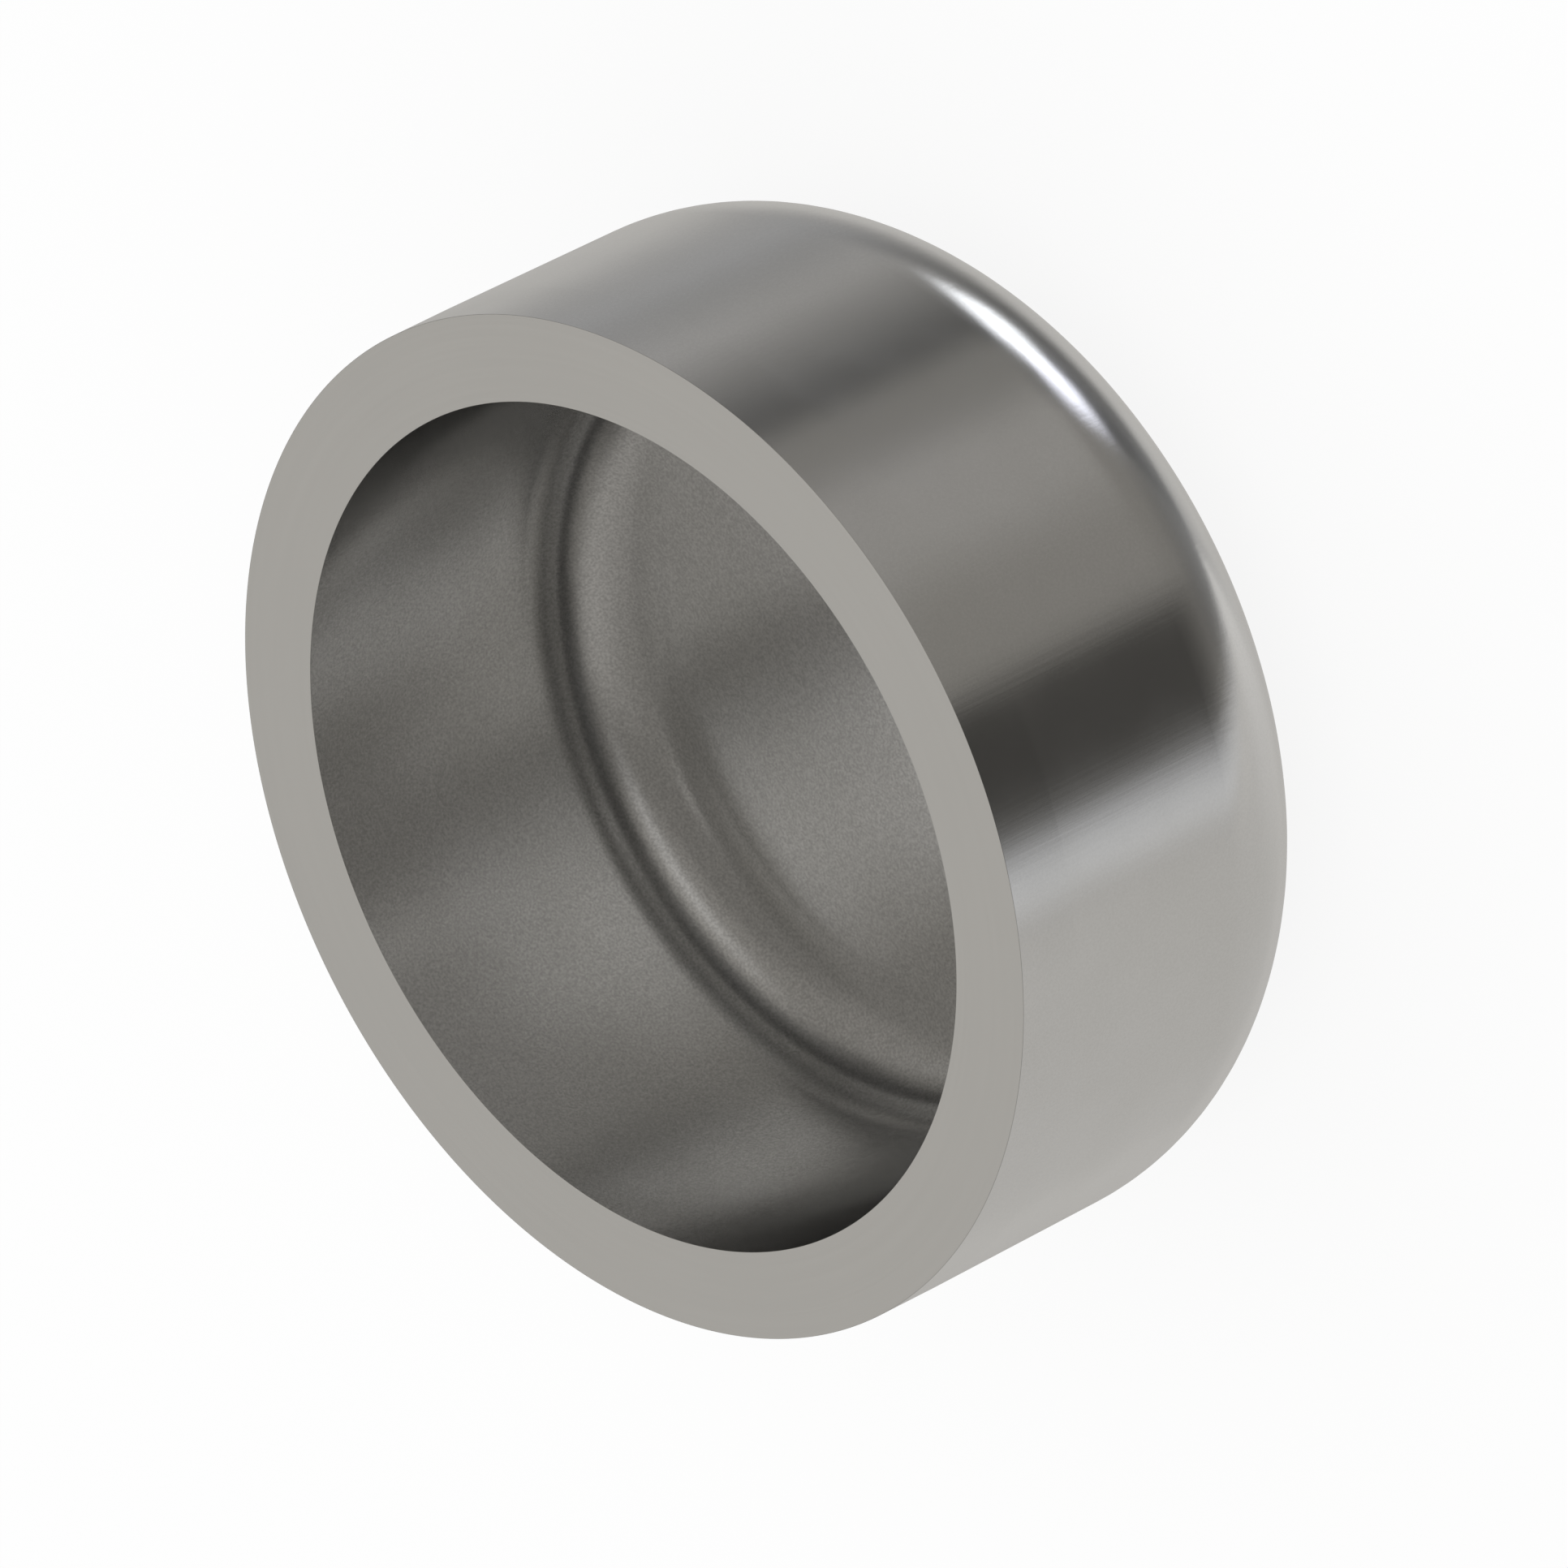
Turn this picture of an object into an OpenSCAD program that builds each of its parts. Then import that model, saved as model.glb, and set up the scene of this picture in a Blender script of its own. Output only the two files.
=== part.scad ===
// Expansion cup plug: one cup drawn from sheet steel, driven into a casting's core hole to seal it.
// The origin is the centre of the closed face's outside, and the mouth points up.

/* [Cup] */
// Diameter of the core hole that the plug seals
hole_d = 14; // [10:0.5:60]
// How much larger the plug's open edge is than the hole, on the diameter
press_fit = 0.1; // [0.05:0.01:0.2]
// Height from the closed face to the open edge
plug_h = 6.3; // [5:0.1:20]

/* [Sheet] */
// Thickness of the wall at the open edge
wall_t = 1.2; // [0.6:0.05:1.5]
// Thickness of the closed end
floor_t = 1.1; // [0.6:0.05:1.5]

/* [Forming] */
// Inside radius where the floor turns up into the wall
punch_r = 1.25; // [0.4:0.05:1.5]
// Height of the straight sealing land at the open edge
land_h = 1; // [0.4:0.1:1.5]
// How much larger the outside radius is at the sealing land than where the corner starts
flare = 0.03; // [0.01:0.01:0.1]

/* [Hidden] */
$fn = 192;
steel = [0.62, 0.61, 0.58];
plug_r = (hole_d + press_fit) / 2;
bore_r = plug_r - wall_t;
neck_r = plug_r - flare;
corner_r = floor_t + punch_r;
land_z = plug_h - land_h;
cut_clear = 1;

// Quarter disc that rounds the corner between a flat base and the wall
module corner_quarter(flat_r, base_z, r) {
    translate([flat_r, base_z])
        intersection() {
            translate([0, r])
                circle(r = r);
            square(r);
        }
}

// Half of the outside: flat closed face, rounded corner, slightly flared wall and straight land
module outer_half() {
    flat_r = neck_r - corner_r;
    corner_quarter(flat_r, 0, corner_r);
    square([flat_r, corner_r]);
    polygon([
        [0, corner_r],
        [neck_r, corner_r],
        [plug_r, land_z],
        [plug_r, plug_h],
        [0, plug_h]
    ]);
}

// Half of the hollow that the punch leaves: flat floor, rounded corner and straight bore
module hollow_half() {
    flat_r = bore_r - punch_r;
    top_z = plug_h + cut_clear;
    corner_quarter(flat_r, floor_t, punch_r);
    translate([0, floor_t])
        square([flat_r, punch_r]);
    translate([0, corner_r])
        square([bore_r, top_z - corner_r]);
}

module cup_plug() {
    color(steel)
        rotate_extrude()
            difference() {
                outer_half();
                hollow_half();
            }
}

cup_plug();
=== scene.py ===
import math

import bmesh
import bpy
from mathutils import Matrix, Vector


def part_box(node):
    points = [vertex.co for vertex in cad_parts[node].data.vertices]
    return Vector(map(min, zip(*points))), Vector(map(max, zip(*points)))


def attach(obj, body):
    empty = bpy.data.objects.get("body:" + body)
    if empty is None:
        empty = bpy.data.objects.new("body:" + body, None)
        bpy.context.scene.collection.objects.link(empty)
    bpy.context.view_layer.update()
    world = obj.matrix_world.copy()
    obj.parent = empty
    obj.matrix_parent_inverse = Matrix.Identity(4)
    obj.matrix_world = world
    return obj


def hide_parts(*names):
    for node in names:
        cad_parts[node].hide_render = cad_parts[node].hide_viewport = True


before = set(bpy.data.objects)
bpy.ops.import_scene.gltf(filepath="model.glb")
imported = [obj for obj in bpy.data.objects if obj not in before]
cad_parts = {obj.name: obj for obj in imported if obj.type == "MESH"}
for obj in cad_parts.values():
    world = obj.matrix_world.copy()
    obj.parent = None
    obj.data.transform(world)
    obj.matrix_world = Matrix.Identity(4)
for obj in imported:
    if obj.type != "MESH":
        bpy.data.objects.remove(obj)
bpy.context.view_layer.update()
mm = 0.001


def toLinear(hexColor):
    # sRGB hex to the linear colour that the nodes want
    parts = [int(hexColor[i:i + 2], 16) / 255 for i in (1, 3, 5)]
    return [p / 12.92 if p <= 0.04045 else ((p + 0.055) / 1.055) ** 2.4 for p in parts] + [1.0]


def addNode(tree, kind, settings=None, values=None, links=None):
    # settings are the node's own properties, values go on its sockets,
    # links are socket: output, or socket: node where it is the node's first output
    made = tree.nodes.new("ShaderNode" + kind)
    for name, value in (settings or {}).items():
        setattr(made, name, value)
    for socket, value in (values or {}).items():
        made.inputs[socket].default_value = value
    for socket, source in (links or {}).items():
        output = source.outputs[0] if isinstance(source, bpy.types.Node) else source
        tree.links.new(output, made.inputs[socket])
    return made


def emptyTree(owner):
    owner.use_nodes = True
    owner.node_tree.nodes.clear()
    return owner.node_tree


# The view, fitted to the outline of the plug in the photograph. The camera is far off with a long
# lens, and rolled, so that the mouth faces down to the left.
cameraView = {
    "elevation": 38.5,               # degrees over the floor
    "azimuth": 0,                    # degrees, 0 looks along +Y
    "roll": -116.5,                  # degrees
    "aim": (-0.37, 1.82, 2.275),     # mm
    "distance": 540,                 # mm
    "lens": 955,                     # mm
    "clip": (50, 2000),              # mm
}


def placeCamera(v):
    turn, tilt = math.radians(v["azimuth"]), math.radians(v["elevation"])
    back = Vector((math.sin(turn) * math.cos(tilt), -math.cos(turn) * math.cos(tilt), math.sin(tilt)))
    aimed = (-back).to_track_quat("-Z", "Y").to_matrix() @ Matrix.Rotation(math.radians(v["roll"]), 3, "Z")
    data = bpy.data.cameras.new("camera")
    data.lens = v["lens"]
    data.clip_start, data.clip_end = (c * mm for c in v["clip"])
    camera = bpy.data.objects.new("camera", data)
    camera.matrix_world = Matrix.Translation((Vector(v["aim"]) + back * v["distance"]) * mm) @ aimed.to_4x4()
    bpy.context.scene.collection.objects.link(camera)
    bpy.context.scene.camera = camera


placeCamera(cameraView)
print("camera placed")


# The cup, turned round +Z. Sizes in mm; the outside radius and the height are the solid's own.
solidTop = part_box("cup_plug")[1]
cup = {
    "openRadius": solidTop[0] / mm,
    "height": solidTop[2] / mm,
    "wall": 1.2,
    "floor": 1.1,
    "punchRadius": 1.25,     # inside corner
    "landHeight": 1.0,       # straight stretch at the mouth
    "flare": 0.03,           # gained in radius between the corner and the land
    "edgeBreak": 0.004,      # what deburring takes off the rim's two sharp edges
    "guard": 0.004,          # rings this near a flat's ends keep the bends' smooth shading off it
    "steps": 384,            # faces round the axis
    "cornerSteps": 28,       # faces along a quarter turn
    "edgeSteps": 4,          # the same on the rim's broken edges
    "samePoint": 1e-6,       # two points nearer than this are one
}
cup["bore"] = cup["openRadius"] - cup["wall"]
cup["neck"] = cup["openRadius"] - cup["flare"]
cup["corner"] = cup["floor"] + cup["punchRadius"]


def straight(start, end, guard):
    # both ends of a flat, and a point just inside each of them
    length = math.dist(start, end)
    points = [start]
    for along in (guard, length - guard):
        points.append(tuple(a + (b - a) * along / length for a, b in zip(start, end)))
    return points + [end]


def bend(centre, radius, start, end, steps):
    # points of an arc in the half section, angles in degrees
    points = []
    for i in range(steps + 1):
        a = math.radians(start + (end - start) * i / steps)
        points.append((centre[0] + radius * math.cos(a), centre[1] + radius * math.sin(a)))
    return points


def cupSection(c):
    # half section, from the middle of the closed face up the outside, over the rim and down the bore
    top, e, guard = c["height"], c["edgeBreak"], c["guard"]
    neck, corner, bore = c["neck"], c["corner"], c["bore"]
    landFoot = (c["openRadius"], top - c["landHeight"])
    outCentre = (neck - corner, corner)
    inCentre = (bore - c["punchRadius"], corner)
    rimOut = c["openRadius"] - e
    rimIn = bore + e
    return [
        ("outside", straight((0, 0), (outCentre[0], 0), guard)),
        ("outside", bend(outCentre, corner, -90, 0, c["cornerSteps"])),
        ("outside", straight((neck, corner), landFoot, guard)),
        ("outside", straight(landFoot, (c["openRadius"], top - e), guard)),
        ("rim", bend((rimOut, top - e), e, 0, 90, c["edgeSteps"])),
        ("rim", straight((rimOut, top), (rimIn, top), guard)),
        ("rim", bend((rimIn, top - e), e, 90, 180, c["edgeSteps"])),
        ("inside", straight((bore, top - e), (bore, corner), guard)),
        ("inside", bend(inCentre, c["punchRadius"], 0, -90, c["cornerSteps"])),
        ("inside", straight((inCentre[0], c["floor"]), (0, c["floor"]), guard)),
    ]


def turnSection(name, section, c, materials):
    bm = bmesh.new()
    steps, samePoint = c["steps"], c["samePoint"]
    rings = []
    last = None
    for zone, points in section:
        for r, z in points:
            if last and math.dist(last, (r, z)) < samePoint:
                continue
            last = (r, z)
            count = steps if r > samePoint else 1
            turns = [math.tau * k / count for k in range(count)]
            ring = [bm.verts.new((r * math.cos(a) * mm, r * math.sin(a) * mm, z * mm)) for a in turns]
            rings.append((zone, ring))
    zones = list(materials)
    for (_, low), (zone, high) in zip(rings, rings[1:]):
        for k in range(steps):
            j = k + 1
            corners = [low[k % len(low)], low[j % len(low)], high[j % len(high)], high[k % len(high)]]
            face = bm.faces.new(list(dict.fromkeys(corners)))
            face.smooth = True
            face.material_index = zones.index(zone)
    bmesh.ops.recalc_face_normals(bm, faces=bm.faces)
    mesh = bpy.data.meshes.new(name)
    bm.to_mesh(mesh)
    bm.free()
    for zone in zones:
        mesh.materials.append(materials[zone])
    piece = bpy.data.objects.new(name, mesh)
    bpy.context.scene.collection.objects.link(piece)
    return piece


# Low-carbon steel strip, deep drawn. The strip's temper-rolled skin gives a satin with a fine pebble,
# the die and punch leave hair-fine lines that run with the draw, and the stretched corners are uneven.
drawnOutside = {
    "color": "#e3e3e3",
    "oiledColor": "#dfdfde",      # where drawing oil has dried on
    "oilPatch": 3.5,              # mm
    "oilFrom": 0.4,               # value of the noise where the oil begins
    "oilFull": 0.75,
    "roughness": 0.165,
    "roughnessSwing": 0.03,
    "swingSize": 0.9,             # mm
    "swingSpan": 0.2,             # noise this far off its middle has the full swing
    "pebbleSize": 0.035,          # mm, the grain of the strip's skin
    "pebbleDepth": 0.00015,       # mm
    "pitPaintedShade": 0.02,             # painted shade and light: share by which the pebble's pits are darker and the land between them brighter
    "pitSpan": 0.15,              # noise this far off its middle has the full shade
    "lineWidth": 0.09,            # mm, coarser than the real lines, which are too fine to show
    "lineLength": 5.0,            # mm
    "lineDepth": 0.0005,          # mm
    "peelSize": 0.28,             # mm, grains raised by the stretch, coarser than real so that they show
    "peelDepth": 0.0015,          # mm
    "peelRoughness": 0.0,         # added where the corner is stretched
    "peelPaintedShade": 0.0,             # painted shade: share of the colour that the corner loses, darkening it
    "drawnFrom": -0.3,            # mm past the start of the corner, where the draw's marks begin
    "drawnFull": 0.7,             # mm past it, where they have their full strength
    "stretchFade": 0.6,           # mm below and above the corner's top over which the stretch fades
}
# Inside, only the punch touches the steel, so the skin of the strip stays coarser. The tighter corner
# stretches more there and turns rougher.
# Painted shade darkens the inside corner's colour, and the painted shade in the pits is stronger.
drawnInside = {
    **drawnOutside,
    "roughness": 0.19,
    "pebbleDepth": 0.0005,        # mm
    "pitPaintedShade": 0.14,
    "peelRoughness": 0.03,
    "peelPaintedShade": 0.09,
}


def perMetre(size):
    # noise scale for a feature of this size in mm
    return 1 / (size * mm)


def axisPlace(tree):
    # a point's place, its height, its offset from the cup's axis and its distance from it
    place = addNode(tree, "TexCoord").outputs["Object"]
    axes = addNode(tree, "SeparateXYZ", links={0: place})
    flat = addNode(tree, "CombineXYZ", links={0: axes.outputs["X"], 1: axes.outputs["Y"]})
    radius = addNode(tree, "VectorMath", {"operation": "LENGTH"}, links={0: flat}).outputs["Value"]
    return place, axes.outputs["Z"], flat, radius


def unevenRoughness(tree, s, pattern):
    half = s["roughnessSwing"] / 2
    return addNode(tree, "MapRange",
                   values={"From Min": 0.5 - s["swingSpan"], "From Max": 0.5 + s["swingSpan"],
                           "To Min": s["roughness"] - half, "To Max": s["roughness"] + half},
                   links={"Value": pattern})


def finishSteel(tree, tint, rough, height):
    # the height comes in mm
    bump = addNode(tree, "Bump", values={"Strength": 1.0, "Distance": mm}, links={"Height": height})
    shader = addNode(tree, "BsdfPrincipled", values={"Metallic": 1.0},
                     links={"Base Color": tint, "Roughness": rough, "Normal": bump})
    addNode(tree, "OutputMaterial", links={"Surface": shader})


def drawnSteel(name, s):
    mat = bpy.data.materials.new(name)
    tree = emptyTree(mat)
    place, upward, flat, radius = axisPlace(tree)

    # zones: drawn is 0 on the flat of the cup's end and 1 from the corner on; the corner mask is 1 on the
    # corner, where the stretch's grains and roughness go and where shade is painted
    start, top = (cup["neck"] - cup["corner"]) * mm, cup["corner"] * mm
    drawn = addNode(tree, "MapRange", {"interpolation_type": "SMOOTHSTEP"},
                    {"From Min": start + s["drawnFrom"] * mm, "From Max": start + s["drawnFull"] * mm},
                    {"Value": radius})
    lowDown = addNode(tree, "MapRange", {"interpolation_type": "SMOOTHSTEP"},
                      {"From Min": top + s["stretchFade"] * mm, "From Max": top - s["stretchFade"] * mm},
                      {"Value": upward})
    stretchedAndShaded = addNode(tree, "Math", {"operation": "MULTIPLY"}, links={0: drawn, 1: lowDown})

    # draw lines: the direction from the axis picks the line, and it drifts slowly with the height
    around = addNode(tree, "VectorMath", {"operation": "NORMALIZE"}, links={0: flat})
    around = addNode(tree, "VectorMath", {"operation": "SCALE"},
                     {"Scale": cup["openRadius"] / s["lineWidth"]}, {0: around})
    drift = addNode(tree, "Math", {"operation": "MULTIPLY"}, {1: perMetre(s["lineLength"])}, {0: upward})
    drift = addNode(tree, "CombineXYZ", links={2: drift})
    along = addNode(tree, "VectorMath", {"operation": "ADD"}, links={0: around, 1: drift})
    lines = addNode(tree, "TexNoise", values={"Scale": 1.0, "Detail": 3.0, "Roughness": 0.6},
                    links={"Vector": along})

    pebble = addNode(tree, "TexNoise",
                     values={"Scale": perMetre(s["pebbleSize"]), "Detail": 3.0, "Roughness": 0.55},
                     links={"Vector": place})
    peel = addNode(tree, "TexNoise",
                   values={"Scale": perMetre(s["peelSize"]), "Detail": 2.0, "Roughness": 0.5},
                   links={"Vector": place})

    # heights in mm, added up for one bump, with the lines and the peel only in their zones
    height = addNode(tree, "Math", {"operation": "MULTIPLY"}, {1: s["pebbleDepth"]}, {0: pebble})
    for pattern, depth, zone in ((lines, s["lineDepth"], drawn), (peel, s["peelDepth"], stretchedAndShaded)):
        layer = addNode(tree, "Math", {"operation": "MULTIPLY"}, {1: depth}, {0: pattern})
        height = addNode(tree, "Math", {"operation": "MULTIPLY_ADD"}, links={0: layer, 1: zone, 2: height})

    swing = addNode(tree, "TexNoise", values={"Scale": perMetre(s["swingSize"]), "Detail": 3.0},
                    links={"Vector": place})
    rough = unevenRoughness(tree, s, swing)
    rough = addNode(tree, "Math", {"operation": "MULTIPLY_ADD"}, {1: s["peelRoughness"]},
                    {0: stretchedAndShaded, 2: rough})

    oil = addNode(tree, "TexNoise", values={"Scale": perMetre(s["oilPatch"]), "Detail": 4.0},
                  links={"Vector": place})
    oil = addNode(tree, "MapRange", {"interpolation_type": "SMOOTHSTEP"},
                  {"From Min": s["oilFrom"], "From Max": s["oilFull"]}, {"Value": oil})
    tint = addNode(tree, "Mix", {"data_type": "RGBA"},
                   {6: toLinear(s["color"]), 7: toLinear(s["oiledColor"])}, {0: oil}).outputs[2]
    # painted shade and light: the pebble's low spots darken the colour, its high spots lighten it
    paintedPitShade = addNode(tree, "MapRange",
                   values={"From Min": 0.5 - s["pitSpan"], "From Max": 0.5 + s["pitSpan"],
                           "To Min": 1 - s["pitPaintedShade"], "To Max": 1 + s["pitPaintedShade"]},
                   links={"Value": pebble})
    # the painted shade of the pebble, less the painted shade on the corner, scales the colour
    shade = addNode(tree, "Math", {"operation": "MULTIPLY_ADD"}, {1: -s["peelPaintedShade"]},
                    {0: stretchedAndShaded, 2: paintedPitShade})
    tint = addNode(tree, "VectorMath", {"operation": "SCALE"}, links={0: tint, "Scale": shade})
    finishSteel(tree, tint, rough, height)
    return mat


# The same steel at the mouth, faced off square after drawing. The tool leaves fine rings round the
# rim, so it is flatter and more even than the rest, with a soft sheen.
facedRim = {
    "color": "#e2e2e1",
    "brightColor": "#e5e5e4",
    "cloudSize": 2.5,             # mm, patches that the tool left a little brighter
    "roughness": 0.26,
    "roughnessSwing": 0.02,
    "swingSpan": 0.2,             # noise this far off its middle has the full swing
    "ringWidth": 0.06,            # mm, the feed of the facing tool
    "ringLength": 4.0,            # mm, how far a ring runs before it changes
    "ringDepth": 0.0001,          # mm
}


def facedSteel(name, s):
    mat = bpy.data.materials.new(name)
    tree = emptyTree(mat)
    place, _, flat, radius = axisPlace(tree)

    # rings: the distance from the axis picks the ring, and it drifts slowly along its way round
    outward = addNode(tree, "Math", {"operation": "MULTIPLY"}, {1: perMetre(s["ringWidth"])}, {0: radius})
    outward = addNode(tree, "CombineXYZ", links={2: outward})
    drift = addNode(tree, "VectorMath", {"operation": "SCALE"},
                    {"Scale": perMetre(s["ringLength"])}, {0: flat})
    across = addNode(tree, "VectorMath", {"operation": "ADD"}, links={0: drift, 1: outward})
    rings = addNode(tree, "TexNoise", values={"Scale": 1.0, "Detail": 3.0, "Roughness": 0.6},
                    links={"Vector": across})
    height = addNode(tree, "Math", {"operation": "MULTIPLY"}, {1: s["ringDepth"]}, {0: rings})

    cloud = addNode(tree, "TexNoise", values={"Scale": perMetre(s["cloudSize"]), "Detail": 3.0},
                    links={"Vector": place})
    tint = addNode(tree, "Mix", {"data_type": "RGBA"},
                   {6: toLinear(s["color"]), 7: toLinear(s["brightColor"])}, {0: cloud}).outputs[2]
    finishSteel(tree, tint, unevenRoughness(tree, s, rings), height)
    return mat


cupMaterials = {
    "outside": drawnSteel("drawnSteelOutside", drawnOutside),
    "inside": drawnSteel("drawnSteelInside", drawnInside),
    "rim": facedSteel("facedSteelRim", facedRim),
}
plug = turnSection("drawnCup", cupSection(cup), cup, cupMaterials)
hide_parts("cup_plug")
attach(plug, "root")
print("cup turned:", len(plug.data.polygons), "faces")


# The studio that the steel mirrors: soft cards in a dark room. Angles in degrees. Azimuth 0 is +X,
# 90 is behind the plug, 270 is the camera's side. Seen from this high, the wall mirrors only what
# lies below the horizon, so the cards go on down there. Their angles and strengths were not chosen by
# hand: a separate fitting script found them from the steel's tones in the photograph, on a coarse grid.
studio = {
    "tints": {
        "warm": "#fffaf1",
        "soft": "#fffcf7",
        "plain": "#ffffff",
        "cool": "#f7faff",
        "blue": "#f0f2ff",
    },
    # name: azimuth (middle, half, blur), elevation (middle, half, blur), tint, strength
    "cards": {
        # over the horizon, for the rim and the inside
        "ceiling": ((0, 180, 1), (90, 70, 15), "warm", 0.19),
        "backTop": ((90, 15, 20), (90, 65, 1), "soft", 0.37),         # the rim's tone
        "frontBox": ((286, 30, 20), (37, 1, 10), "plain", 0.53),      # seen by way of bore and floor
        "leftTop": ((175, 60, 10), (40, 20, 35), "soft", 0.19),
        "frontHigh": ((355, 80, 20), (40, 20, 5), "warm", 0.066),
        # under the horizon, for the wall and the outside corner
        "sweep": ((165, 55, 22), (-90, 70, 20), "soft", 0.525),       # the wall's long pale stretch
        "sweepEdge": ((222, 7, 5), (-40, 20, 35), "cool", 0.36),      # the glint beside the dark band
        "underneath": ((0, 180, 1), (-90, 10, 25), "plain", 0.27),
        "greyRight": ((298, 35, 5), (-15, 35, 35), "warm", 0.27),     # the dark band lies before it
        "farRight": ((5, 15, 30), (-35, 25, 35), "soft", 0.45),
        "farSide": ((75, 35, 25), (-55, 30, 20), "soft", 0.53),       # the wall's pale upper end
        "lamp": ((348, 13, 8), (-55, 6.5, 4), "cool", 1.72),          # the streak on the corner
        "lampTail": ((329, 12, 9), (-60, 6, 5), "blue", 1.97),
        "sideStrip": ((30, 5, 35), (-20, 30, 15), "cool", 0.29),
        "thinStrip": ((305, 15, 10), (-40, 5, 5), "plain", 0.09),
        "lowRight": ((260, 55, 5), (-60, 10, 35), "warm", 0.2),
    },
}


def buildStudio(s):
    world = bpy.data.worlds.new("studio")
    bpy.context.scene.world = world
    world.cycles.sampling_method = "NONE"    # aimed light rays would bring the plain white to the steel
    tree = emptyTree(world)
    axes = addNode(tree, "SeparateXYZ", links={0: addNode(tree, "TexCoord").outputs["Generated"]})
    azimuth = addNode(tree, "Math", {"operation": "ARCTAN2"},
                      links={0: axes.outputs["Y"], 1: axes.outputs["X"]})
    elevation = addNode(tree, "Math", {"operation": "ARCSINE"}, links={0: axes.outputs["Z"]})

    def cover(angle, middle, half, blur):
        # 1 inside the card, 0 outside
        off = addNode(tree, "Math", {"operation": "SUBTRACT"}, {1: math.radians(middle)}, {0: angle})
        off = addNode(tree, "Math", {"operation": "WRAP"}, {1: math.pi, 2: -math.pi}, {0: off})
        off = addNode(tree, "Math", {"operation": "ABSOLUTE"}, links={0: off})
        return addNode(tree, "MapRange", {"interpolation_type": "SMOOTHSTEP"},
                       {"From Min": math.radians(half + blur), "From Max": math.radians(half - blur)},
                       {"Value": off})

    light = None
    for name, (turn, tilt, tint, strength) in s["cards"].items():
        amount = cover(elevation, *tilt)
        if turn[1] < 180:    # else it goes all the way round
            sideways = cover(azimuth, *turn)
            amount = addNode(tree, "Math", {"operation": "MULTIPLY"}, links={0: amount, 1: sideways})
        color = [c * strength for c in toLinear(s["tints"][tint])[:3]]
        card = addNode(tree, "VectorMath", {"operation": "SCALE", "label": name},
                       {0: color}, {"Scale": amount})
        if light:
            card = addNode(tree, "VectorMath", {"operation": "ADD"}, links={0: light, 1: card})
        light = card
    mirrored = addNode(tree, "Background", links={"Color": light})
    plain = addNode(tree, "Background", values={"Color": toLinear("#ffffff")})
    path = addNode(tree, "LightPath")
    both = addNode(tree, "MixShader", links={0: path.outputs["Is Glossy Ray"], 1: plain, 2: mirrored})
    addNode(tree, "OutputWorld", links={"Surface": both})


buildStudio(studio)
print("studio lit:", len(studio["cards"]), "cards")


# Pale matt paper under the plug. The camera sees it nearly white, with a faint shadow.
floorPaper = {
    "color": "#f6f6f6",
    "radius": 600,           # mm
    "sides": 96,
    "gap": 0.01,             # mm between the paper and the closed face
    "shade": 0.12,           # how much of its own shading the camera sees
}


def layFloor(f):
    bm = bmesh.new()
    bmesh.ops.create_circle(bm, cap_ends=True, segments=f["sides"], radius=f["radius"] * mm)
    mesh = bpy.data.meshes.new("floor")
    bm.to_mesh(mesh)
    bm.free()
    floor = bpy.data.objects.new("floor", mesh)
    floor.location.z = -f["gap"] * mm
    floor.visible_glossy = False    # the steel mirrors the cards below the horizon in its place
    bpy.context.scene.collection.objects.link(floor)
    mat = bpy.data.materials.new("palePaper")
    tree = emptyTree(mat)
    paper = addNode(tree, "BsdfDiffuse", values={"Color": toLinear(f["color"])})
    glow = addNode(tree, "Emission", values={"Color": toLinear("#ffffff"), "Strength": 1.0})
    path = addNode(tree, "LightPath")
    seen = path.outputs["Is Camera Ray"]
    for ray in ("Is Glossy Ray", "Is Transmission Ray"):
        seen = addNode(tree, "Math", {"operation": "MAXIMUM"}, links={0: seen, 1: path.outputs[ray]})
    share = addNode(tree, "Math", {"operation": "MULTIPLY"}, {1: 1 - f["shade"]}, {0: seen})
    both = addNode(tree, "MixShader", links={0: share, 1: paper, 2: glow})
    addNode(tree, "OutputMaterial", links={"Surface": both})
    mesh.materials.append(mat)


layFloor(floorPaper)
print("floor laid")

bpy.context.scene.view_settings.view_transform = "Standard"
